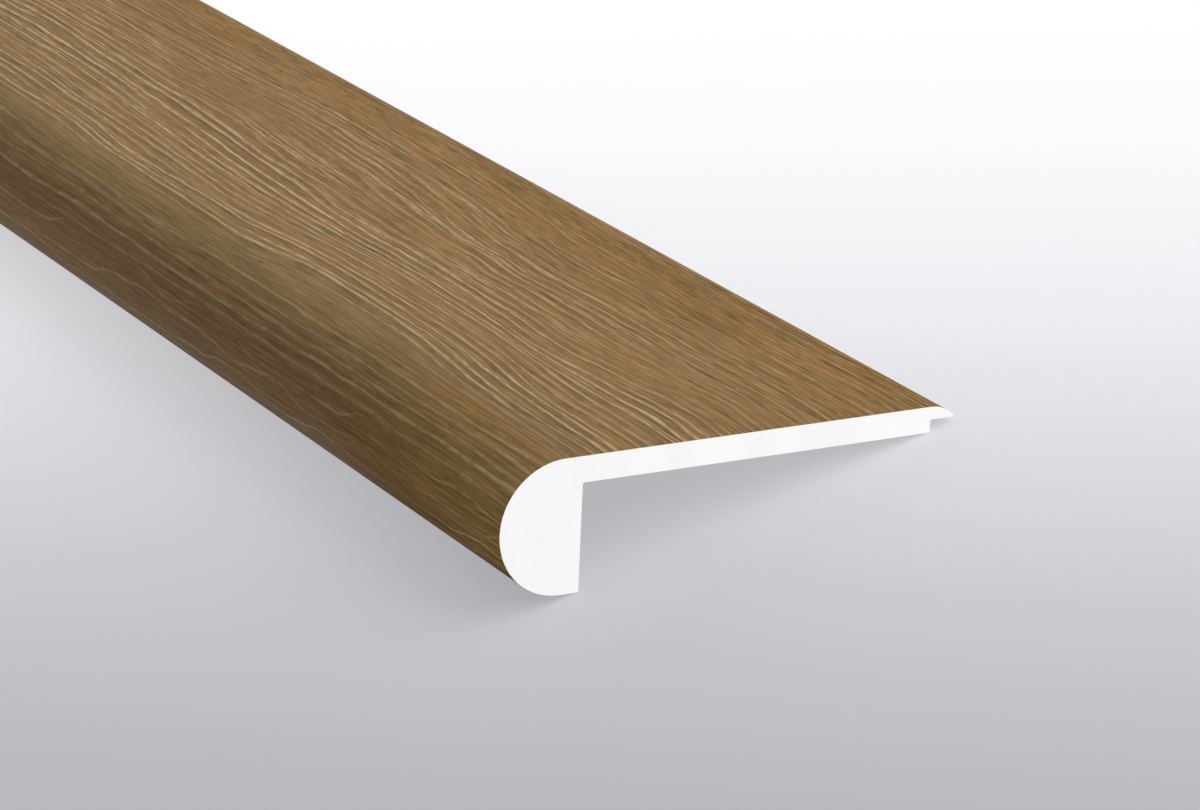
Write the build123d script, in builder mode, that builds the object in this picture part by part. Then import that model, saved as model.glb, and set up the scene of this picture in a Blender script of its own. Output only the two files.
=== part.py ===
from build123d import *
import os
from math import atan2, degrees

# Overlapping stair nosing: one extruded length of rigid PVC.
# The round nose covers the front edge of a stair tread and the plate behind it lies on the tread.
# The thin lip at the back of the plate overlaps the edge of the floor planks.
# Millimetres. X runs along the length, the nose faces -Y and +Z is up.

# Driving dimensions
length = 2387.6  # stock length, 94 in
width = 69.85  # front of the nose to the tip of the lip, 2 3/4 in
height = 19.05  # underside of the nose to the walking surface, 3/4 in
heel_land = 2.6  # flat under the nose, from the end of its round to the wall behind it
plate_thickness = 3.7
lip_thickness = 1.85  # at its root, over the back edge of the plate
lip_overhang = 3.7  # reach of the lip past the back edge of the plate
lip_tip = 0.2  # blunt edge left at the tip of the lip
corner_radius = 0.25  # die radius on the two corners that the piece lies on
root_radius = 0.25  # die radius in the two inside corners

# Places in the section: across from the front of the nose, and up from its underside
nose_radius = height / 2
wall = nose_radius + heel_land
plate_back = width - lip_overhang
plate_underside = height - plate_thickness
lip_underside = height - lip_thickness

heel = (wall, 0)
rebate_root = (wall, plate_underside)
plate_corner = (plate_back, plate_underside)
lip_root = (plate_back, lip_underside)

# Section: half-round nose, flat walking surface, and a lip that rounds down to its tip
with BuildSketch() as section:
    with BuildLine():
        CenterArc((nose_radius, nose_radius), nose_radius, start_angle=90, arc_size=180)
        Line((nose_radius, height), (plate_back, height))
        TangentArc((plate_back, height), (width, lip_underside + lip_tip), tangent=(1, 0))
        Polyline(
            (width, lip_underside + lip_tip),
            (width, lip_underside),
            lip_root,
            plate_corner,
            rebate_root,
            heel,
            (nose_radius, 0),
        )
    make_face()
    fillet([section.vertices().sort_by_distance(place)[0] for place in (heel, plate_corner)], corner_radius)
    fillet([section.vertices().sort_by_distance(place)[0] for place in (rebate_root, lip_root)], root_radius)

# Left on a floor, the nosing tips back until its heel and the back corner of its plate both touch down
rest_tilt = degrees(atan2(plate_underside, plate_back - wall))
resting_section = section.sketch.rotate(Axis.Z, -rest_tilt)
footprint = resting_section.bounding_box()

# The resting section, run along the length, with the origin on the floor in the middle
with BuildPart() as stair_nosing:
    with BuildSketch(Plane.YZ.offset(-length / 2)):
        with Locations((-footprint.center().X, -footprint.min.Y)):
            add(resting_section)
    extrude(amount=length)

stair_nosing.part.label = "stair_nosing"

os.makedirs("parts", exist_ok=True)
export_step(stair_nosing.part, "parts/stair_nosing.step")
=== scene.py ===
"""Looks of the overlapping stair nosing: an oak-look film over a white extruded core, in a plain studio."""

import logging
import math
from dataclasses import dataclass, field
from enum import Enum
from typing import Any, ClassVar, Union

import bpy
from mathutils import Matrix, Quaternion, Vector


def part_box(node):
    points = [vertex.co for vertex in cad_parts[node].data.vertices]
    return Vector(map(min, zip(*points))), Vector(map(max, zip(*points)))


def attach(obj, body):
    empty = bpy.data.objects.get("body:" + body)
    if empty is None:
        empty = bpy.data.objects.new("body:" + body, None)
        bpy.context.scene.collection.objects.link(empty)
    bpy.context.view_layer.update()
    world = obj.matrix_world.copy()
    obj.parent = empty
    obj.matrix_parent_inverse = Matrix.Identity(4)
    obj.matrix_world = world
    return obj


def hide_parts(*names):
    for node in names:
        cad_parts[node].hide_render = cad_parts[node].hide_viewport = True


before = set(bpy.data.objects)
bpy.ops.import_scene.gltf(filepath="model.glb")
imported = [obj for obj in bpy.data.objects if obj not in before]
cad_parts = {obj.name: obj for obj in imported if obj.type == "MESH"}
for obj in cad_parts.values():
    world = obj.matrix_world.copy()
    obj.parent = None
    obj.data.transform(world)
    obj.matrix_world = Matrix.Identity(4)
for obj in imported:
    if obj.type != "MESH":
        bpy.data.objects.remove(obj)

log = logging.getLogger("stair_nosing")

MM = 0.001  # metres in a millimetre
NODE = "stair_nosing"
GRAIN_MAP = "grain"
BAKE_MAP = "OFBake"

Socket = bpy.types.NodeSocket
Input = Union[float, tuple, Socket]
Colour = tuple[float, float, float, float]
Bands = tuple[tuple[float, float], ...]


def srgb(red: float, green: float, blue: float) -> Colour:
    """Turns a colour as seen on a screen into the linear one that shaders take.

    Args:
        red, green, blue: the colour's parts, from 0 to 255.

    Returns:
        The linear colour, with full alpha.
    """

    def linear(part: float) -> float:
        """One part of the colour, made linear."""
        share = part / 255
        return share / 12.92 if share <= 0.04045 else ((share + 0.055) / 1.055) ** 2.4

    return (linear(red), linear(green), linear(blue), 1.0)


class Skin(Enum):
    """What a stretch of the section wears. The value is the material slot on the mesh."""

    FILM = 0
    CORE = 1


@dataclass(frozen=True)
class OutlinePoint:
    """One corner of the section's outline.

    Args:
        across: place from the front of the nose towards the lip, in millimetres.
        up: place from the underside of the nose upwards, in millimetres.
        skin: what the stretch from this point to the next one wears.
        curved: whether that stretch is part of a round.
    """

    across: float
    up: float
    skin: Skin
    curved: bool = False


@dataclass(frozen=True)
class NosingSection:
    """The section of the stock, in millimetres, with the same sizes as the solid that it stands for."""

    width: float = 69.85
    height: float = 19.05
    heel_land: float = 2.6
    plate_thickness: float = 3.7
    lip_thickness: float = 1.85
    lip_overhang: float = 3.7
    lip_tip: float = 0.2
    corner_radius: float = 0.25
    root_radius: float = 0.25
    nose_steps: int = 72
    lip_steps: int = 10
    fillet_steps: int = 4

    @property
    def nose_radius(self) -> float:
        """Radius of the half-round nose."""
        return self.height / 2

    @property
    def wall(self) -> float:
        """Place across of the wall behind the nose."""
        return self.nose_radius + self.heel_land

    @property
    def plate_back(self) -> float:
        """Place across of the back edge of the plate."""
        return self.width - self.lip_overhang

    @property
    def plate_underside(self) -> float:
        """Height of the underside of the plate."""
        return self.height - self.plate_thickness

    @property
    def lip_underside(self) -> float:
        """Height of the underside of the lip."""
        return self.height - self.lip_thickness

    @property
    def rest_tilt(self) -> float:
        """Angle by which the stock tips back when its heel and the back of its plate lie on a floor."""
        return math.atan2(self.plate_underside, self.plate_back - self.wall)

    def arc(
        self, centre: tuple[float, float], radius: float, start: float, end: float, steps: int, skin: Skin
    ) -> list[OutlinePoint]:
        """Points along a round stretch, both of its ends included.

        Args:
            centre: place across and up of the arc's centre.
            radius: the arc's radius.
            start, end: angles from the +across direction, in radians.
            steps: the number of straight pieces that stand for the arc.
            skin: what the stretch wears.

        Returns:
            The points in order from start to end.
        """
        across, up = centre
        angles = [start + (end - start) * step / steps for step in range(steps + 1)]
        return [
            OutlinePoint(
                across + radius * math.cos(angle), up + radius * math.sin(angle), skin, curved=angle != end
            )
            for angle in angles
        ]

    def film_line(self) -> list[OutlinePoint]:
        """The stretch under the film, from the tip of the lip over the top and round the nose to the heel.

        Returns:
            The points in order, the last one where the rounding of the heel begins.
        """
        tip_up = self.lip_underside + self.lip_tip
        drop = self.height - tip_up
        lip_radius = (self.lip_overhang**2 + drop**2) / (2 * drop)
        tip_angle = math.asin((lip_radius - drop) / lip_radius)
        quarter = math.pi / 2
        lip_centre = (self.plate_back, self.height - lip_radius)
        lip = self.arc(lip_centre, lip_radius, tip_angle, quarter, self.lip_steps, Skin.FILM)
        over_wall = OutlinePoint(self.wall, self.height, Skin.FILM)
        nose_centre = (self.nose_radius, self.nose_radius)
        nose = self.arc(nose_centre, self.nose_radius, quarter, 3 * quarter, self.nose_steps, Skin.FILM)
        return [*lip, over_wall, *nose]

    def core_line(self) -> list[OutlinePoint]:
        """The bare stretch, from the heel up the wall and under the plate and the lip to the tip.

        Returns:
            The points in order, the last one at the lower corner of the tip.
        """
        edge, root = self.corner_radius, self.root_radius
        quarter = math.pi / 2

        def corner(across: float, up: float) -> list[OutlinePoint]:
            """An outside corner, rounded by the die."""
            centre = (across - edge, up + edge)
            return self.arc(centre, edge, -quarter, 0, self.fillet_steps, Skin.CORE)

        def inside_corner(across: float, up: float) -> list[OutlinePoint]:
            """An inside corner, rounded by the die."""
            centre = (across + root, up - root)
            return self.arc(centre, root, 2 * quarter, quarter, self.fillet_steps, Skin.CORE)

        heel = corner(self.wall, 0)
        rebate = inside_corner(self.wall, self.plate_underside)
        back = corner(self.plate_back, self.plate_underside)
        step = inside_corner(self.plate_back, self.lip_underside)
        tip = OutlinePoint(self.width, self.lip_underside, Skin.CORE)
        return [*heel, *rebate, *back, *step, tip]

    def outline(self) -> list[OutlinePoint]:
        """The closed outline: the film's stretch and then the bare one."""
        return [*self.film_line(), *self.core_line()]

    def girths(self) -> list[float]:
        """Places of the outline's points along the outline itself.

        Returns:
            A place for each point and, last, for the first point again, in millimetres. They are 0
            where the walking surface meets the nose, and rise towards the lip.
        """
        outline = self.outline()
        girth = [0.0]
        for point, after in zip(outline, [*outline[1:], outline[0]]):
            girth.append(girth[-1] - math.hypot(after.across - point.across, after.up - point.up))
        across = [point.across for point in outline]
        start = next(
            i for i, place in enumerate(across) if math.isclose(place, self.nose_radius, abs_tol=1e-6)
        )
        return [place - girth[start] for place in girth]

    def at_rest(self, across: float, up: float) -> tuple[float, float]:
        """Turns a place in the section by the tilt at which the stock lies.

        Args:
            across, up: the place in the section.

        Returns:
            The place across and up after the turn, about the section's own origin.
        """
        turn = self.rest_tilt
        return (
            across * math.cos(turn) + up * math.sin(turn),
            up * math.cos(turn) - across * math.sin(turn),
        )


class NodeSketch:
    """Adds shader nodes to one node tree and wires them up."""

    def __init__(self, tree: bpy.types.NodeTree) -> None:
        """Starts on an emptied tree."""
        tree.nodes.clear()
        self.tree = tree

    def add(self, kind: str, **settings: Any) -> bpy.types.Node:
        """Adds one node.

        Args:
            kind: the node's type name, without the leading ShaderNode.
            settings: properties to set on it.

        Returns:
            The new node.
        """
        node = self.tree.nodes.new("ShaderNode" + kind)
        for name, value in settings.items():
            setattr(node, name, value)
        return node

    def feed(self, socket: Socket, value: Input) -> None:
        """Links a socket to another one, or sets its value."""
        if isinstance(value, Socket):
            self.tree.links.new(value, socket)
        else:
            socket.default_value = value

    def math(self, operation: str, *values: Input) -> Socket:
        """A Math node.

        Args:
            operation: the node's operation.
            values: its inputs in order.

        Returns:
            The result's socket.
        """
        node = self.add("Math", operation=operation)
        for socket, value in zip(node.inputs, values):
            self.feed(socket, value)
        return node.outputs[0]

    def vector(self, operation: str, *values: Input) -> bpy.types.Node:
        """A Vector Math node.

        Args:
            operation: the node's operation.
            values: its vector inputs in order.

        Returns:
            The node, whose Vector or Value output holds the result.
        """
        node = self.add("VectorMath", operation=operation)
        for socket, value in zip(node.inputs, values):
            self.feed(socket, value)
        return node

    def place(self, x: Input, y: Input, z: Input = 0.0) -> Socket:
        """A vector put together from three numbers."""
        node = self.add("CombineXYZ")
        for socket, value in zip(node.inputs, (x, y, z)):
            self.feed(socket, value)
        return node.outputs[0]

    def noise(self, place: Socket, detail: float = 0.0, roughness: float = 0.5) -> Socket:
        """Smooth noise of unit grain.

        Args:
            place: where it is read, in grains.
            detail: the number of finer layers.
            roughness: how strong each finer layer is.

        Returns:
            The noise, from 0 to 1, mostly near 0.5.
        """
        node = self.add("TexNoise", noise_dimensions="2D")
        self.feed(node.inputs["Vector"], place)
        node.inputs["Scale"].default_value = 1.0
        node.inputs["Detail"].default_value = detail
        node.inputs["Roughness"].default_value = roughness
        return node.outputs[0]

    def ease(self, value: Input, low: float, high: float, start: float = 0.0, end: float = 1.0) -> Socket:
        """A smooth step.

        Args:
            value: the number that is read.
            low, high: where the step begins and ends.
            start, end: what it gives there.

        Returns:
            The result's socket, held at start and end outside the step.
        """
        node = self.add("MapRange", interpolation_type="SMOOTHSTEP")
        for socket, number in zip(node.inputs, (value, low, high, start, end)):
            self.feed(socket, number)
        return node.outputs[0]

    def ramp(self, value: Socket, stops: tuple[tuple[float, Colour], ...]) -> Socket:
        """A run of colours.

        Args:
            value: the number that is read.
            stops: pairs of that number and the colour there, in rising order.

        Returns:
            The colour's socket, held at the first and last colour outside them.
        """
        low, high = stops[0][0], stops[-1][0]
        run = self.add("ValToRGB")
        share = self.add("MapRange")
        for socket, number in zip(share.inputs, (value, low, high, 0.0, 1.0)):
            self.feed(socket, number)
        self.feed(run.inputs[0], share.outputs[0])
        elements = run.color_ramp.elements
        while len(elements) < len(stops):
            elements.new(0.5)
        for element, (at, colour) in zip(elements, stops):
            element.position = (at - low) / (high - low)
            element.color = colour
        return run.outputs[0]

    def steps(self, value: Socket, stops: Bands) -> Socket:
        """A broken line through pairs of the number that is read and the result."""
        return self.ramp(value, tuple((at, (result, result, result, 1.0)) for at, result in stops))

    def blend(self, share: Input, first: Input, second: Input) -> Socket:
        """Mixes two colours.

        Args:
            share: how much of the second colour shows.
            first, second: the colours.

        Returns:
            The mixed colour's socket.
        """
        node = self.add("Mix", data_type="RGBA")
        self.feed(node.inputs[0], share)
        self.feed(node.inputs[6], first)
        self.feed(node.inputs[7], second)
        return node.outputs[2]

    def shaded(self, colour: Socket, level: Socket) -> Socket:
        """A colour made darker or lighter, in proportion to a number."""
        return self.vector("MULTIPLY", colour, self.place(level, level, level)).outputs[0]

    def seen_ray(self) -> Socket:
        """1 for what the camera sees, also in a gloss or through glass, and 0 for light on its way."""
        ray = self.add("LightPath").outputs
        seen = self.math("MAXIMUM", ray["Is Camera Ray"], ray["Is Glossy Ray"])
        return self.math("MAXIMUM", seen, ray["Is Transmission Ray"])

    def bump(self, height: Socket, depth: float) -> Socket:
        """Fine relief for a shader's normal.

        Args:
            height: the relief, from 0 to 1.
            depth: how deep it is, in metres.

        Returns:
            The normal's socket.
        """
        node = self.add("Bump")
        node.inputs["Strength"].default_value = 1.0
        node.inputs["Distance"].default_value = depth
        self.feed(node.inputs["Height"], height)
        return node.outputs[0]


def surface(name: str) -> tuple[bpy.types.Material, NodeSketch, bpy.types.Node]:
    """Makes a material with one shader on it.

    Args:
        name: the material's name.

    Returns:
        The material, the sketch of its nodes and its shader.
    """
    material = bpy.data.materials.new(name)
    material.use_nodes = True
    sketch = NodeSketch(material.node_tree)
    shader = sketch.add("BsdfPrincipled")
    output = sketch.add("OutputMaterial")
    sketch.feed(output.inputs["Surface"], shader.outputs[0])
    return material, sketch, shader


@dataclass(frozen=True)
class GrainSwell:
    """A place where the grain lines bow aside, as they do round the arches of flat-sawn oak.

    The same soft spot also stands for a clearing in the lines and for a dark smudge.

    Args:
        along: place from the +X end, in millimetres.
        across: place from the top of the nose towards the lip, in millimetres.
        reach_along, reach_across: how far the spot reaches each way, in millimetres.
        lift: how far the lines are pushed towards the lip, in millimetres, or how strong the spot is.
    """

    along: float
    across: float
    reach_along: float
    reach_across: float
    lift: float

    def push(self, sketch: NodeSketch, place: Socket) -> Socket:
        """How far the lines are pushed at each place.

        Args:
            sketch: the material's nodes.
            place: place on the film laid flat, in millimetres.

        Returns:
            The push: nearly even over the middle of the swell, and gone beyond its reach.
        """
        gap = sketch.vector("SUBTRACT", place, (self.along, self.across, 0.0)).outputs[0]
        gap = sketch.vector("MULTIPLY", gap, (1 / self.reach_along, 1 / self.reach_across, 0.0)).outputs[0]
        square = sketch.vector("DOT_PRODUCT", gap, gap).outputs["Value"]
        bell = sketch.math("POWER", 1 / math.e, sketch.math("MULTIPLY", square, square))
        return sketch.math("MULTIPLY", bell, self.lift)


@dataclass(frozen=True)
class GrainLines:
    """A family of thin lines that follow the grain, as pores and fibres do.

    Args:
        spacing: from line to line across the grain, in millimetres.
        thickness: of one line, in millimetres.
        run: length along the grain over which a line comes and goes, in millimetres.
        stray: how far a line strays from even spacing, in spacings.
        kink: how sharply a line steps aside between straight runs, from 0 to 1.
        share: how much of all the lines' length shows, from 0 to 1.
        shift: sets one family's pattern apart from another's.
        bands: pairs of a place across the grain and the strength of the lines there.
    """

    spacing: float
    thickness: float
    run: float
    stray: float
    kink: float
    share: float
    shift: float
    bands: Bands

    noise_gap: ClassVar[float] = 3.7  # between two lines in the noise that they read, in grains
    edge_place: ClassVar[float] = 0.4  # of the dark edge below a line, in spacings
    edge_fade: ClassVar[tuple[float, float]] = (0.04, 0.36)  # where that edge starts and stops fading
    fade_in: ClassVar[float] = 0.14  # how softly a line comes and goes, in the noise that it reads

    def draw(self, sketch: NodeSketch, along: Socket, grain: Socket) -> tuple[Socket, Socket]:
        """Draws the lines.

        Args:
            sketch: the material's nodes.
            along: place along the length, in millimetres.
            grain: place across the grain, in millimetres.

        Returns:
            How strongly a line shows at each place, and how strongly the dark edge beside it, from 0 to 1.
        """
        count = sketch.math("MULTIPLY_ADD", grain, 1 / self.spacing, self.shift)
        line = sketch.math("ROUND", count)
        own = sketch.math("MULTIPLY_ADD", line, self.noise_gap, self.shift)

        def along_line(rate: float, detail: float) -> Socket:
            """Noise of each line's own, at a rate in grains for each millimetre along it."""
            return sketch.noise(sketch.place(sketch.math("MULTIPLY", along, rate), own), detail=detail)

        # The path of the line, and the place beside it
        reach = 0.25 - 0.2 * self.kink
        path = along_line(rate=1.2 / self.run, detail=1 + 2 * self.kink)
        path = sketch.ease(path, 0.5 - reach, 0.5 + reach, -self.stray, self.stray)
        off = sketch.math("SUBTRACT", sketch.math("SUBTRACT", count, line), path)

        # The line itself, which swells and thins, and the dark edge below it
        half = 0.5 * self.thickness / self.spacing
        swelling = sketch.ease(along_line(rate=0.12, detail=1.0), 0.3, 0.7, 1.5, 0.75)
        aside = sketch.math("MULTIPLY", sketch.math("ABSOLUTE", off), swelling)
        body = sketch.ease(aside, 0.5 * half, 1.5 * half, 1.0, 0.0)
        below = sketch.math("ABSOLUTE", sketch.math("ADD", off, self.edge_place))
        edge = sketch.ease(below, *self.edge_fade, 1.0, 0.0)

        # Where the line shows, and how strongly
        middle = 0.7 - 0.4 * self.share
        presence = along_line(rate=1 / self.run, detail=2.0)
        presence = sketch.ease(presence, middle - self.fade_in, middle + self.fade_in)
        pores = sketch.ease(along_line(rate=0.4, detail=1.0), 0.25, 0.6, 0.45, 1.0)
        weight = sketch.ease(sketch.noise(sketch.place(own, self.shift)), 0.3, 0.6, 0.55, 1.0)
        for strength in (pores, weight, sketch.steps(grain, self.bands)):
            presence = sketch.math("MULTIPLY", presence, strength)
        return sketch.math("MULTIPLY", body, presence), sketch.math("MULTIPLY", edge, presence)


@dataclass(frozen=True)
class OakFilm:
    """The printed oak film on the show faces. Places are in millimetres of film laid flat.

    Bands are pairs of a place across the film and the number that holds there.

    Args:
        brown, warm, grey: colours of the ground.
        pale: colour of the lines.
        gold: colour of the light dashes.
        pore: colour of the dark dashes, the edges of the lines and the smudges.
        swells: where the lines bow aside.
        clearings: where the bold and fine lines fade.
        smudges: where the film is dark.
        bold_lines, fine_lines: the lines all over the film.
        curled_lines: the kinked lines under the front of the nose.
        light_dashes, dark_dashes: the short marks between the lines.
        grey_bands: how grey the ground is.
        painted_light_and_shade_bands: how bright the film is across its girth: darker where the top turns
            over the nose, partly the film's own tone and partly painted shade, and lighter on the nose's
            lower half, which is painted light.
        trough_bands: how dark the edges of the lines are.
        contrast_bands: how strong the streaks are.
        ripple_bands: how far the lines ripple, in millimetres.
        ripple_end: stretch along the length over which most of the ripple dies away.
        photo_end: stretch along the length over which the photographed part comes to its end.
        near_wander, wander: how far the lines wander before and after it, in millimetres.
        fibre_strength, strand_strength: how strongly the two kinds of streaks show.
        light_strength, dark_strength: how strongly the two kinds of dashes show.
        roughness, roughness_swing: the least roughness, and what the streaks add to it.
        gloss: strength of the reflection.
        relief: depth of the streaks, in metres.
        pore_depth: depth of the dark dashes, in depths of the streaks.
    """

    brown: Colour = srgb(118, 89, 46)
    warm: Colour = srgb(132, 99, 52)
    grey: Colour = srgb(133, 106, 67)
    pale: Colour = srgb(182, 158, 122)
    gold: Colour = srgb(160, 127, 79)
    pore: Colour = srgb(72, 51, 26)
    swells: tuple[GrainSwell, ...] = (
        GrainSwell(70, 9, 37, 9.5, 3.0),
        GrainSwell(250, 62, 150, 44, 5.5),
        GrainSwell(140, 46, 48, 22, 2.4),
        GrainSwell(12, 25, 8, 8, 0.5),
        GrainSwell(43, 26, 10, 8, -0.5),
        GrainSwell(84, 24, 11, 8, 0.4),
        GrainSwell(172, 30, 16, 10, 0.6),
        GrainSwell(245, 10, 90, 24, 2.5),
    )
    clearings: tuple[GrainSwell, ...] = (
        GrainSwell(14, 31, 38, 8, 0.55),
        GrainSwell(104, 29, 26, 3, 0.6),
        GrainSwell(178, 36, 30, 6, 0.7),
    )
    smudges: tuple[GrainSwell, ...] = (
        GrainSwell(37, 10.5, 3.0, 2.2, 0.2),
        GrainSwell(50, 0.8, 5.0, 1.0, 0.2),
        GrainSwell(93.8, 0.25, 0.5, 0.35, 0.9),
        GrainSwell(137.5, 45, 3.5, 0.8, 0.25),
        GrainSwell(149.5, 18.3, 1.8, 1.2, 0.25),
    )
    bold_lines: GrainLines = GrainLines(
        spacing=1.7,
        thickness=0.4,
        run=70,
        stray=0.22,
        kink=0.2,
        share=0.85,
        shift=11.3,
        bands=(
            (-33, 0.2),
            (-12, 0.15),
            (-10, 0.65),
            (-5, 0.65),
            (-3, 0.2),
            (-1, 0.15),
            (2, 0.8),
            (20, 0.95),
            (22.5, 0.85),
            (33, 0.8),
            (42, 0.35),
            (48, 0.1),
            (61, 0.1),
        ),
    )
    fine_lines: GrainLines = GrainLines(
        spacing=1.3,
        thickness=0.34,
        run=28,
        stray=0.2,
        kink=0.0,
        share=0.5,
        shift=27.9,
        bands=(
            (-33, 0.25),
            (-4, 0.2),
            (2, 0.3),
            (20, 0.45),
            (26, 0.8),
            (42, 0.7),
            (48, 0.4),
            (61, 0.35),
        ),
    )
    curled_lines: GrainLines = GrainLines(
        spacing=3.0,
        thickness=0.36,
        run=60,
        stray=0.36,
        kink=0.85,
        share=0.75,
        shift=43.1,
        bands=((-34, 1.0), (-13, 1.0), (-11, 0.0), (0, 0.0)),
    )
    light_dashes: GrainLines = GrainLines(
        spacing=0.8,
        thickness=0.32,
        run=8,
        stray=0.2,
        kink=0.0,
        share=0.45,
        shift=61.7,
        bands=((-34, 0.7), (0, 0.7), (24, 0.9), (62, 1.0)),
    )
    dark_dashes: GrainLines = GrainLines(
        spacing=0.87,
        thickness=0.32,
        run=7,
        stray=0.2,
        kink=0.0,
        share=0.42,
        shift=75.9,
        bands=((-34, 0.45), (0, 0.55), (4, 0.75), (24, 0.95), (62, 1.0)),
    )
    grey_bands: Bands = (
        (-34, 0.3),
        (-14, 0.35),
        (-11, 0.6),
        (-5, 0.8),
        (2, 0.65),
        (20, 0.6),
        (24, 0.45),
        (40, 0.3),
        (48, 0.05),
        (62, 0.0),
    )
    # Darker where the top turns over the nose, partly the film's own tone and partly painted shade; lighter
    # on the nose's lower half, painted light
    painted_light_and_shade_bands: Bands = (
        (-34, 1.23),
        (-16, 1.13),
        (-12, 0.83),
        (-9, 0.69),
        (-5, 0.69),
        (-1, 0.72),
        (2, 0.79),
        (6, 0.91),
        (14, 0.97),
        (62, 1.0),
    )
    trough_bands: Bands = ((-4, 0.1), (4, 0.45))
    contrast_bands: Bands = ((40, 1.1), (62, 1.2))
    ripple_bands: Bands = ((14, 0.0), (24, 1.6), (38, 1.6), (46, 1.0), (60, 1.0))
    ripple_end: tuple[float, float] = (60, 130)
    photo_end: tuple[float, float] = (150, 420)
    near_wander: float = 1.35
    wander: float = 9.0
    fibre_strength: float = 0.9
    strand_strength: float = 0.4
    light_strength: float = 0.9
    dark_strength: float = 0.8
    roughness: float = 0.45
    roughness_swing: float = 0.2
    gloss: float = 0.08
    relief: float = 0.00003
    pore_depth: float = 0.6

    def grain_place(self, sketch: NodeSketch) -> tuple[Socket, Socket, Socket, Socket, Socket]:
        """Works out where each place of the film lies along and across the grain.

        Args:
            sketch: the material's nodes.

        Returns:
            The place along the length, the plain place across it and the place across the grain, in
            millimetres, then how far the lines show there and how dark a smudge is, from 0 to 1.
        """
        metres = sketch.add("UVMap", uv_map=GRAIN_MAP).outputs[0]
        place = sketch.vector("MULTIPLY", metres, (1 / MM, 1 / MM, 0.0)).outputs[0]
        parts = sketch.add("SeparateXYZ")
        sketch.feed(parts.inputs[0], place)
        along, across = parts.outputs[0], parts.outputs[1]

        def sway(length: float, thickness: float, detail: float = 1.0) -> Socket:
            """Noise about 0 that is drawn out along the length."""
            at = sketch.vector("MULTIPLY", place, (1 / length, 1 / thickness, 0.0)).outputs[0]
            return sketch.math("SUBTRACT", sketch.noise(at, detail=detail), 0.5)

        grain = across
        for swell in self.swells:
            grain = sketch.math("SUBTRACT", grain, swell.push(sketch, place))
        wander = sketch.ease(along, *self.photo_end, self.near_wander, self.wander)
        ripple = sketch.ease(along, *self.ripple_end, 1.0, 0.3)
        ripple = sketch.math("MULTIPLY", sketch.steps(across, self.ripple_bands), ripple)
        bends = (
            (sway(length=140, thickness=32), wander),
            (sway(length=30, thickness=12), 1.0),
            (sway(length=20, thickness=16), ripple),
            (sway(length=8, thickness=3, detail=2.0), 0.5),
        )
        for bend, reach in bends:
            grain = sketch.math("MULTIPLY_ADD", bend, reach, grain)
        clear = 1.0
        for clearing in self.clearings:
            clear = sketch.math("SUBTRACT", clear, clearing.push(sketch, place))
        smudge = 0.0
        for spot in self.smudges:
            smudge = sketch.math("ADD", smudge, spot.push(sketch, place))
        return along, across, grain, clear, smudge

    def material(self) -> bpy.types.Material:
        """Makes the film's material.

        Returns:
            The material, with its colour, gloss and relief from one grain.
        """
        material, sketch, shader = surface("oak_film")
        along, across, grain, clear, smudge = self.grain_place(sketch)
        halfway = sketch.math("MULTIPLY", sketch.math("ADD", across, grain), 0.5)

        def streaks(way: Socket, length: float, thickness: float, detail: float, shift: float) -> Socket:
            """Noise drawn out along the length, with streaks of about that length and thickness."""
            x = sketch.math("MULTIPLY_ADD", along, 1 / length, shift)
            y = sketch.math("MULTIPLY", way, 1 / thickness)
            return sketch.noise(sketch.place(x, y), detail=detail, roughness=0.6)

        # The marks: broad tones, two kinds of streaks, dashes and lines
        tone = streaks(grain, length=90, thickness=6, detail=2.0, shift=3.1)
        fibre = streaks(halfway, length=12, thickness=0.3, detail=2.0, shift=8.7)
        strand = streaks(halfway, length=24, thickness=0.8, detail=1.0, shift=5.4)
        light, _ = self.light_dashes.draw(sketch, along, halfway)
        pores, _ = self.dark_dashes.draw(sketch, along, halfway)
        lines, edges = self.bold_lines.draw(sketch, along, grain)
        fine_lines, fine_edges = self.fine_lines.draw(sketch, along, grain)
        lines = sketch.math("MULTIPLY", sketch.math("MAXIMUM", lines, fine_lines), clear)
        edges = sketch.math("MULTIPLY", sketch.math("MAXIMUM", edges, fine_edges), clear)
        curled_lines, _ = self.curled_lines.draw(sketch, along, grain)
        lines = sketch.math("MAXIMUM", lines, curled_lines)

        # The colour, from the ground up
        colour = sketch.blend(sketch.ease(tone, 0.2, 0.8), self.brown, self.warm)
        colour = sketch.blend(sketch.steps(grain, self.grey_bands), colour, self.grey)
        contrast = sketch.steps(across, self.contrast_bands)
        shade = 1.0
        for streak, strength in ((fibre, self.fibre_strength), (strand, self.strand_strength)):
            swing = sketch.math("MULTIPLY", sketch.math("SUBTRACT", streak, 0.5), strength)
            shade = sketch.math("MULTIPLY", shade, sketch.math("MULTIPLY_ADD", swing, contrast, 1.0))
        colour = sketch.shaded(colour, shade)
        colour = sketch.blend(sketch.math("MULTIPLY", light, self.light_strength), colour, self.gold)
        troughs = sketch.math("MULTIPLY", edges, sketch.steps(across, self.trough_bands))
        dark = sketch.math("MAXIMUM", sketch.math("MULTIPLY", pores, self.dark_strength), troughs)
        colour = sketch.blend(dark, colour, self.pore)
        colour = sketch.blend(lines, colour, self.pale)
        colour = sketch.blend(smudge, colour, self.pore)
        # Painted shade where the top turns over the nose, partly the film's own tone, and painted light on
        # the nose's lower half
        colour = sketch.shaded(colour, sketch.steps(across, self.painted_light_and_shade_bands))
        sketch.feed(shader.inputs["Base Color"], colour)

        # The gloss and the relief
        roughness = sketch.math("MULTIPLY_ADD", fibre, self.roughness_swing, self.roughness)
        sketch.feed(shader.inputs["Roughness"], roughness)
        shader.inputs["Specular IOR Level"].default_value = self.gloss
        height = sketch.math("SUBTRACT", fibre, sketch.math("MULTIPLY", pores, self.pore_depth))
        sketch.feed(shader.inputs["Normal"], sketch.bump(height, self.relief))
        return material


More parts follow.
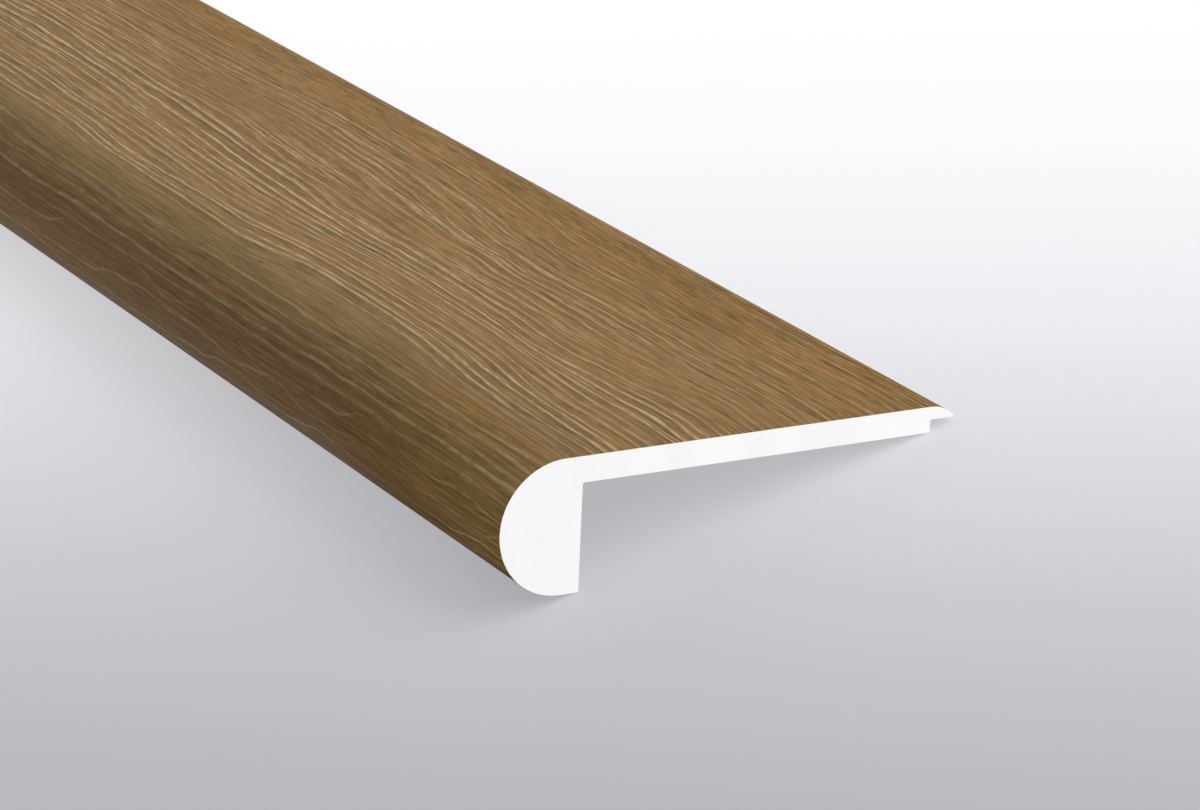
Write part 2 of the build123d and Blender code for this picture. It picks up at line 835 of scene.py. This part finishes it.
@dataclass(frozen=True)
class WhiteCore:
    """The white rigid plastic of the bare faces.

    Args:
        white, shade: its colour, and the colour of its faint clouds.
        cloud_rate: clouds in a metre along and across the length.
        die_rate: lines of the die in a metre along and across the length.
        roughness, roughness_swing: the least roughness, and what the lines of the die add to it.
        gloss: strength of the reflection.
        relief: depth of the lines of the die, in metres.
    """

    white: Colour = srgb(248, 248, 248)
    shade: Colour = srgb(245, 245, 244)
    cloud_rate: tuple[float, float, float] = (60, 120, 0)
    die_rate: tuple[float, float, float] = (3, 3500, 0)
    roughness: float = 0.4
    roughness_swing: float = 0.2
    gloss: float = 0.3
    relief: float = 0.000008

    def material(self) -> bpy.types.Material:
        """Makes the core's material.

        Returns:
            The material, with faint clouds and lines of the die.
        """
        material, sketch, shader = surface("white_core")
        place = sketch.add("TexCoord").outputs["Object"]
        cloud = sketch.noise(sketch.vector("MULTIPLY", place, self.cloud_rate).outputs[0], detail=3.0)
        die_lines = sketch.noise(sketch.vector("MULTIPLY", place, self.die_rate).outputs[0], detail=2.0)
        colour = sketch.blend(sketch.ease(cloud, 0.35, 0.7), self.white, self.shade)
        sketch.feed(shader.inputs["Base Color"], colour)
        roughness = sketch.math("MULTIPLY_ADD", die_lines, self.roughness_swing, self.roughness)
        sketch.feed(shader.inputs["Roughness"], roughness)
        shader.inputs["Specular IOR Level"].default_value = self.gloss
        sketch.feed(shader.inputs["Normal"], sketch.bump(die_lines, self.relief))
        return material


@dataclass(frozen=True)
class FacePlan:
    """One face of the mesh before it is made.

    Args:
        corners: places in the list of the mesh's corners.
        skin: what the face wears.
        curved: whether it is part of a round and is shaded smooth.
        grain: each corner's place on the film laid flat, in metres.
        bake: each corner's place on the bake sheet.
    """

    corners: list[int]
    skin: Skin
    curved: bool
    grain: list[tuple[float, float]]
    bake: list[tuple[float, float]]


@dataclass(frozen=True)
class BakeSheet:
    """How the mesh lies on the square sheet that its finish can be baked to.

    The film is cut across into rows above each other. The bare faces and the two ends, which are plain,
    share the strip that is left below them.

    Args:
        margin: free space round each part of the sheet.
        film_row: height of one row of film.
        core_row: height of the strip of bare faces.
        end_row: height of the strip with the ends.
    """

    margin: float = 0.005
    film_row: float = 0.295
    core_row: float = 0.02
    end_row: float = 0.06

    def across_row(self, share: float) -> float:
        """Place across the sheet of a share of a full row."""
        return self.margin + share * (1 - 2 * self.margin)

    def film_place(self, row: int, along: float, girth: float) -> tuple[float, float]:
        """Place of a corner of the film, from its row and its shares of that row and of the girth."""
        top = 1 - self.margin - row * (self.film_row + self.margin)
        return self.across_row(along), top - self.film_row * (1 - girth)

    def core_place(self, along: float, girth: float) -> tuple[float, float]:
        """Place of a corner of the bare faces, from its shares of the length and of the bare girth."""
        return self.across_row(along), self.margin + self.core_row * girth

    def end_place(self, end: int, across: float, up: float, height: float) -> tuple[float, float]:
        """Place of a corner of an end, from its place on that end and the height of the end."""
        scale = self.end_row / height
        low = 2 * self.margin + self.core_row
        return self.margin + 0.5 * end + across * scale, low + up * scale


@dataclass
class StairNosing:
    """The length of stock: one closed mesh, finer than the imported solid, in its two finishes."""

    section: NosingSection = field(default_factory=NosingSection)
    film: OakFilm = field(default_factory=OakFilm)
    core: WhiteCore = field(default_factory=WhiteCore)
    sheet: BakeSheet = field(default_factory=BakeSheet)
    seen_stretch: float = 0.4  # metres from the +X end that get the first row of the bake sheet
    loops_per_row: int = 8

    def row_cuts(self) -> list[float]:
        """Ends of the stretches that become rows of the bake sheet, from the +X end to the -X end."""
        low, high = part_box(NODE)
        first = high.x - self.seen_stretch
        return [high.x, first, (first + low.x) / 2, low.x]

    def stations(self) -> list[float]:
        """Places along the length where the mesh has a ring of corners.

        Returns:
            The places in metres, from the +X end to the -X end.
        """
        cuts = self.row_cuts()
        rings = [
            start + (end - start) * loop / self.loops_per_row
            for start, end in zip(cuts, cuts[1:])
            for loop in range(self.loops_per_row)
        ]
        return [*rings, cuts[-1]]

    def ring(self) -> list[tuple[float, float]]:
        """The outline as it lies in the frame.

        Returns:
            The place across and up of each point, in metres.
        """
        turned = [self.section.at_rest(point.across, point.up) for point in self.section.outline()]
        middle = (min(y for y, _ in turned) + max(y for y, _ in turned)) / 2
        floor = min(z for _, z in turned)
        return [((y - middle) * MM, (z - floor) * MM) for y, z in turned]

    def side_faces(self) -> list[FacePlan]:
        """Plans the faces that run along the length.

        Returns:
            One face for each stretch of the outline between each two rings.
        """
        outline = self.section.outline()
        girths = self.section.girths()
        stations = self.stations()
        cuts = self.row_cuts()
        length = cuts[0] - cuts[-1]
        count = len(outline)
        film_end = next(i for i, point in enumerate(outline) if point.skin is Skin.CORE)
        film_girth = girths[0] - girths[film_end]
        core_girth = girths[film_end] - girths[count]
        plans = []
        for loop, (near, far) in enumerate(zip(stations, stations[1:])):
            row = loop // self.loops_per_row
            row_length = cuts[row] - cuts[row + 1]
            for column, point in enumerate(outline):
                after = (column + 1) % count
                corners = [loop * count + after, loop * count + column]
                corners += [corner + count for corner in reversed(corners)]
                places = [(near, column + 1), (near, column), (far, column), (far, column + 1)]
                grain = [(cuts[0] - x, girths[i] * MM) for x, i in places]
                if point.skin is Skin.FILM:
                    bake = [
                        self.sheet.film_place(
                            row, (cuts[row] - x) / row_length, (girths[i] - girths[film_end]) / film_girth
                        )
                        for x, i in places
                    ]
                else:
                    bake = [
                        self.sheet.core_place(
                            (cuts[0] - x) / length, (girths[i] - girths[count]) / core_girth
                        )
                        for x, i in places
                    ]
                plans.append(FacePlan(corners, point.skin, point.curved, grain, bake))
        return plans

    def end_outlines(self) -> list[list[int]]:
        """Splits an end into the nose, the plate and the lip.

        Returns:
            The corners of each part, as places in the outline, in its order.
        """
        section, outline = self.section, self.section.outline()

        def nearest(across: float, up: float) -> int:
            """The point of the outline nearest to a place in the section."""
            gaps = [math.hypot(point.across - across, point.up - up) for point in outline]
            return gaps.index(min(gaps))

        over_wall = nearest(section.wall, section.height)
        over_back = nearest(section.plate_back, section.height)
        rebate = nearest(section.wall, section.plate_underside)
        lip_root = nearest(section.plate_back, section.lip_underside)
        nose = [*range(over_wall, rebate + 1)]
        plate = [*range(over_back, over_wall + 1), *range(rebate, lip_root + 1)]
        lip = [*range(lip_root, len(outline)), *range(over_back + 1)]
        return [nose, plate, lip]

    def end_faces(self) -> list[FacePlan]:
        """Plans the faces of the two cut ends.

        Returns:
            Three faces for each end.
        """
        ring = self.ring()
        last = (len(self.stations()) - 1) * len(ring)
        left = min(y for y, _ in ring)
        height = max(z for _, z in ring)
        plans = []
        for part in self.end_outlines():
            for end, corners in enumerate((part, part[::-1])):
                bake = [self.sheet.end_place(end, ring[i][0] - left, ring[i][1], height) for i in corners]
                shifted = [end * last + i for i in corners]
                plans.append(FacePlan(shifted, Skin.CORE, False, [ring[i] for i in corners], bake))
        return plans

    def build(self) -> bpy.types.Object:
        """Builds the mesh, with its two maps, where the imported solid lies.

        Returns:
            The finished object, still without a finish.
        """
        plans = self.side_faces() + self.end_faces()
        corners = [(x, y, z) for x in self.stations() for y, z in self.ring()]
        mesh = bpy.data.meshes.new("stair_nosing_stock")
        mesh.from_pydata(corners, [], [plan.corners for plan in plans])
        mesh.polygons.foreach_set("material_index", [plan.skin.value for plan in plans])
        mesh.polygons.foreach_set("use_smooth", [plan.curved for plan in plans])
        maps = {GRAIN_MAP: [plan.grain for plan in plans], BAKE_MAP: [plan.bake for plan in plans]}
        for name, faces in maps.items():
            layer = mesh.uv_layers.new(name=name)
            layer.uv.foreach_set("vector", [part for face in faces for place in face for part in place])
        mesh.update()
        return bpy.data.objects.new(mesh.name, mesh)

    def dress(self, piece: bpy.types.Object) -> None:
        """Puts the film and the core's own finish on the mesh, in the order of the skins."""
        for finish in (self.film, self.core):
            piece.data.materials.append(finish.material())


@dataclass(frozen=True)
class Lamp:
    """A far, wide lamp that lights the whole length evenly.

    Args:
        name: the lamp's name.
        towards: direction from the object to the lamp.
        level: how bright a white face turned to it gets, where 1 is white.
        spread: how wide the lamp looks from the object, in degrees.
        glossy: whether the lamp shows as gloss on the object.
    """

    name: str
    towards: tuple[float, float, float]
    level: float
    spread: float = 60.0
    glossy: bool = True

    def build(self) -> bpy.types.Object:
        """Adds the lamp to the scene.

        Returns:
            The lamp's object.
        """
        light = bpy.data.lights.new(self.name, "SUN")
        light.energy = self.level * math.pi
        light.angle = math.radians(self.spread)
        lamp = bpy.data.objects.new(self.name, light)
        lamp.visible_glossy = self.glossy
        lamp.rotation_mode = "QUATERNION"
        lamp.rotation_quaternion = Vector(self.towards).to_track_quat("Z", "Y")
        bpy.context.scene.collection.objects.link(lamp)
        return lamp


@dataclass(frozen=True)
class StudioFloor:
    """A level floor with painted shade: white behind the object, darkening to pale grey in front of its
    seen end.

    Args:
        half_size: from the middle to an edge, in metres.
        down_picture: the way along the floor that goes straight down the photograph.
        shades: pairs of a place that way, in metres from the photograph's middle, and the colour there, a
            painted shade that darkens as light falling off would.
        middle: middle of the floor in the photograph, in metres.
        reach: how far from there the shades hold, in metres.
        softening: how much wider the shades lie for each metre farther off.
        white: how far from there the floor is white all over, in metres.
        albedo: share of the colour that takes light and shadow.
        glow: share of the colour that is seen whatever light falls there: painted light that the floor
            glows with for the camera, in glosses and through glass, and that also lightens the object's
            shadow on it.
    """

    half_size: float = 8.0
    down_picture: tuple[float, float, float] = (0.6, -0.8, 0.0)
    shades: tuple[tuple[float, Colour], ...] = (
        (-0.127, srgb(252, 252, 253)),
        (-0.072, srgb(247, 247, 249)),
        (-0.017, srgb(234, 235, 238)),
        (0.018, srgb(220, 221, 225)),
        (0.063, srgb(200, 201, 206)),
        (0.113, srgb(182, 183, 188)),
    )
    middle: tuple[float, float, float] = (1.12, 0.0, 0.0)
    reach: float = 0.28
    softening: float = 7.0
    white: float = 1.2
    albedo: float = 0.38
    glow: float = 0.65

    def build(self) -> bpy.types.Object:
        """Adds the floor under the object.

        Returns:
            The floor's object.
        """
        half = self.half_size
        corners = [(-half, -half, 0), (half, -half, 0), (half, half, 0), (-half, half, 0)]
        mesh = bpy.data.meshes.new("studio_floor")
        mesh.from_pydata(corners, [], [(0, 1, 2, 3)])
        material, sketch, shader = surface("studio_floor")
        place = sketch.add("TexCoord").outputs["Object"]
        from_middle = sketch.vector("SUBTRACT", place, self.middle).outputs[0]
        down = sketch.vector("DOT_PRODUCT", from_middle, self.down_picture).outputs["Value"]
        away = sketch.vector("LENGTH", from_middle).outputs["Value"]
        past = sketch.math("MAXIMUM", sketch.math("SUBTRACT", away, self.reach), 0.0)
        width = sketch.math("MULTIPLY_ADD", past, self.softening, 1.0)
        # Painted shade: the floor darkens from white to pale grey down the picture, and fades back to white
        # far off
        shade = sketch.ramp(sketch.math("DIVIDE", down, width), self.shades)
        shade = sketch.blend(sketch.ease(away, self.reach, self.white), shade, self.shades[0][1])
        paint = sketch.vector("MULTIPLY", shade, (self.albedo,) * 3).outputs[0]
        sketch.feed(shader.inputs["Base Color"], paint)
        shader.inputs["Roughness"].default_value = 0.9
        shader.inputs["Specular IOR Level"].default_value = 0.0
        # Painted light: the floor glows for the camera, in glosses and through glass, which also lightens
        # the object's shadow on it
        glow = sketch.math("MULTIPLY", sketch.seen_ray(), self.glow)
        sketch.feed(shader.inputs["Emission Color"], shade)
        sketch.feed(shader.inputs["Emission Strength"], glow)
        mesh.materials.append(material)
        floor = bpy.data.objects.new("studio_floor", mesh)
        bpy.context.scene.collection.objects.link(floor)
        return floor


@dataclass(frozen=True)
class PhotoCamera:
    """The camera, set as the photograph was taken.

    Args:
        aim: the place that it looks at, in metres.
        distance: from there to the camera, in metres.
        azimuth: its turn round the object from the front of the nose, in degrees.
        elevation: its height above the level, in degrees.
        roll: its turn about its own line of sight, in degrees.
        focal_length, sensor_width: of its lens and picture, in millimetres.
        clip: the nearest and the farthest that it sees, in metres.
    """

    aim: tuple[float, float, float] = (1.1938, -0.01641, 0.02423)
    distance: float = 0.63011
    azimuth: float = 65.856
    elevation: float = 25.784
    roll: float = 12.635
    focal_length: float = 144.876
    sensor_width: float = 36.0
    clip: tuple[float, float] = (0.01, 50.0)

    def build(self) -> bpy.types.Object:
        """Adds the camera and makes it the scene's own.

        Returns:
            The camera's object.
        """
        turn, rise = math.radians(self.azimuth), math.radians(self.elevation)
        back = Vector((math.sin(turn) * math.cos(rise), -math.cos(turn) * math.cos(rise), math.sin(rise)))
        level = (-back).to_track_quat("-Z", "Y")
        data = bpy.data.cameras.new("photo_camera")
        data.lens = self.focal_length
        data.sensor_width = self.sensor_width
        data.clip_start, data.clip_end = self.clip
        camera = bpy.data.objects.new("photo_camera", data)
        camera.rotation_mode = "QUATERNION"
        camera.rotation_quaternion = level @ Quaternion((0, 0, 1), math.radians(-self.roll))
        camera.location = Vector(self.aim) + back * self.distance
        bpy.context.scene.collection.objects.link(camera)
        bpy.context.scene.camera = camera
        return camera


@dataclass
class Studio:
    """The plain surroundings: soft light, a pale floor and the camera.

    Args:
        lamps: the lamps.
        sky_level: how bright a white face gets from the sky alone, where 1 is white.
        floor: the floor that takes the shadow.
        camera: the camera.
    """

    lamps: tuple[Lamp, ...] = (
        Lamp("key", (0.50, 0.65, 0.57), 0.71),
        Lamp("fill", (0.95, 0.1, 0.3), 0.49),
        Lamp("end_fill", (-0.97, 0.1, 0.2), 0.50, glossy=False),
    )
    sky_level: float = 0.33
    floor: StudioFloor = field(default_factory=StudioFloor)
    camera: PhotoCamera = field(default_factory=PhotoCamera)

    def build(self) -> None:
        """Adds everything to the scene."""
        world = bpy.data.worlds.new("studio_sky")
        world.use_nodes = True
        sky = world.node_tree.nodes["Background"]
        sky.inputs["Color"].default_value = (1.0, 1.0, 1.0, 1.0)
        sky.inputs["Strength"].default_value = self.sky_level
        scene = bpy.context.scene
        scene.world = world
        scene.view_settings.view_transform = "Standard"
        for lamp in self.lamps:
            lamp.build()
        self.floor.build()
        self.camera.build()


def main() -> None:
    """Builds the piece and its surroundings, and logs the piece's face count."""
    logging.basicConfig(level=logging.INFO, format="%(name)s: %(message)s")
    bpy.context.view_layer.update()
    nosing = StairNosing()
    piece = nosing.build()
    nosing.dress(piece)
    bpy.context.scene.collection.objects.link(piece)
    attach(piece, "root")
    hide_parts(NODE)
    log.info("%s: %d faces, rides on root", piece.name, len(piece.data.polygons))
    Studio().build()


if __name__ == "__main__":
    main()
